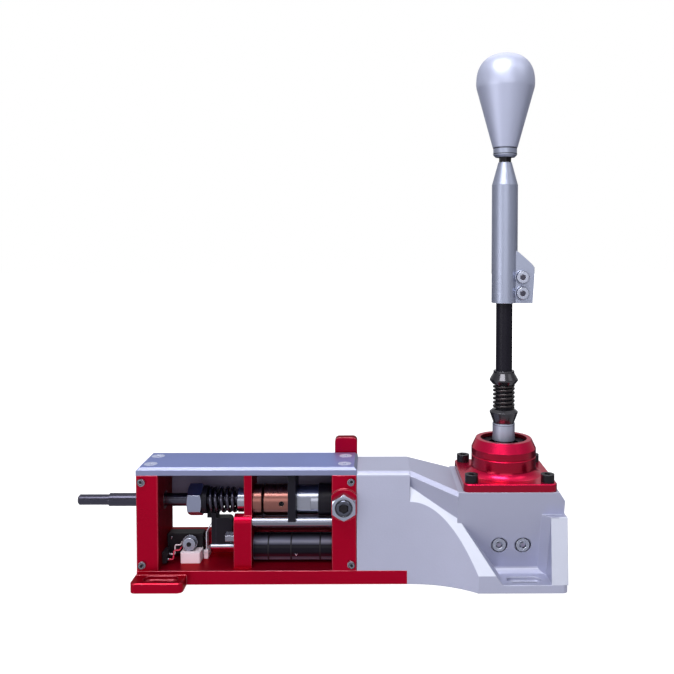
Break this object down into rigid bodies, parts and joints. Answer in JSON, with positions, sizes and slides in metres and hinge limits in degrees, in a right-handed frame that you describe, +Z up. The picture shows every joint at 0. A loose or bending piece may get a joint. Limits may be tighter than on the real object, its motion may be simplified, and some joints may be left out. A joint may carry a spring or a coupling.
{
  "type": "sequential gear shifter",
  "caption": "Sim racing gear shifter: lever with teardrop knob in a cast tower, sprung shaft in a red frame.",
  "frame": {"origin": "middle of the four foot slots, on the underside of the base", "axes": "+X from the frame towards the lever, +Z up, window side towards -Y"},
  "size_m": [0.3747, 0.0784, 0.4051],
  "materials": {
    "red_anodised": "red anodised aluminium, fine milled",
    "red_block": "bright red anodised aluminium, turned",
    "silver_cast": "silver cast, fine sand texture, satin",
    "blued_aluminium": "satin anodised, bright chamfers",
    "bright_steel": "ground and polished",
    "dark_steel": "blackened steel, polished",
    "silver_machined": "turned, fine rings",
    "bronze": "turned bronze",
    "black_oxide": "black oxide, slightly glossy",
    "zinc_screws": "zinc plated",
    "black_painted": "black anodised, satin",
    "black_gloss": "glossy black",
    "black_spring": "black spring wire",
    "knob_satin": "silver, satin",
    "black_plastic": "moulded",
    "white_plastic": "moulded",
    "red_plastic": "wire sheath"
  },
  "bodies": {
    "frame": {"base_plate": "red_anodised", "left_block": "red_anodised", "right_block": "red_anodised", "bulkhead": "red_anodised", "top_plate": "blued_aluminium", "rear_cover": "black_painted", "rear_sill": "red_anodised", "guide_rod": "bright_steel", "spring_collar": "bright_steel", "end_cup": "black_painted", "left_bush": "bronze", "right_bush": "bronze", "plate_screws": "zinc_screws", "frame_screws": "black_oxide", "stop_screw": "zinc_screws", "adjuster_screw": "black_oxide", "adjuster_nut": "zinc_screws", "friction_pad": "white_plastic", "damper_cylinder": "black_gloss", "damper_gland": "black_gloss", "switch_body": "black_plastic", "switch_bracket": "white_plastic", "switch_screw": "zinc_screws", "leaf_post": "white_plastic", "leaf_pin": "bright_steel", "wire_socket": "black_plastic", "white_wire": "white_plastic", "red_wire": "red_plastic", "front_housing": "silver_cast", "housing_screws": "zinc_screws", "pivot_flange": "red_block", "flange_screws": "black_oxide", "ball_seat": "black_plastic", "bearing_ring": "black_painted"},
    "shaft": {"main_shaft": "dark_steel", "shaft_nut": "zinc_screws", "shift_arm": "black_painted", "rod_clamp": "black_painted", "centring_spring": "dark_steel", "bronze_ring": "bronze", "bronze_barrel": "bronze", "barrel_grub": "black_oxide", "fork_plate": "black_painted", "steel_sleeve": "bright_steel", "damper_rod": "bright_steel", "damper_piston": "bright_steel", "shaft_yoke": "bright_steel"},
    "lever": {"lever_rod": "black_painted", "stem_sleeve": "silver_machined", "lockout_spring": "black_spring", "upper_collar": "black_oxide", "clamp_tube": "silver_machined", "clamp_screws": "zinc_screws", "knob_stud": "black_oxide", "knob_nut": "black_oxide", "knob_ring": "silver_machined", "knob": "knob_satin"},
    "lockout": {"lift_collar": "black_oxide"},
    "leaf": {"switch_leaf": "bright_steel"},
    "button": {"switch_button": "black_plastic"}
  },
  "joints": [
    {"name": "lever_tilt", "type": "hinge", "parent": "frame", "child": "lever", "pos_m": [0.12525, 0, 0.093], "axis": [0, 1, 0], "range_deg": [-5, 5], "stiffness_Nm_per_rad": 60},
    {"name": "shaft_slide", "type": "slide", "parent": "frame", "child": "shaft", "axis": [1, 0, 0], "range_m": [-0.0031, 0.0031], "deforming": ["centring_spring"]},
    {"name": "collar_lift", "type": "slide", "parent": "lever", "child": "lockout", "axis": [0, 0, 1], "range_m": [0, 0.006], "stiffness_N_per_m": 900, "deforming": ["lockout_spring"]},
    {"name": "leaf_tilt", "type": "hinge", "parent": "frame", "child": "leaf", "pos_m": [-0.1086, 0, 0.0155], "axis": [0, 1, 0], "range_deg": [-8, 8]},
    {"name": "switch_button_press", "type": "slide", "parent": "frame", "child": "button", "axis": [1, 0, 0], "range_m": [-0.0012, 0.0012]}
  ],
  "couplings": [
    {"joint": "shaft_slide", "follows": "lever_tilt", "m_per_rad": -0.0349},
    {"joint": "leaf_tilt", "follows": "lever_tilt", "ratio": -1.572},
    {"joint": "switch_button_press", "follows": "lever_tilt", "m_per_rad": -0.01336}
  ]
}
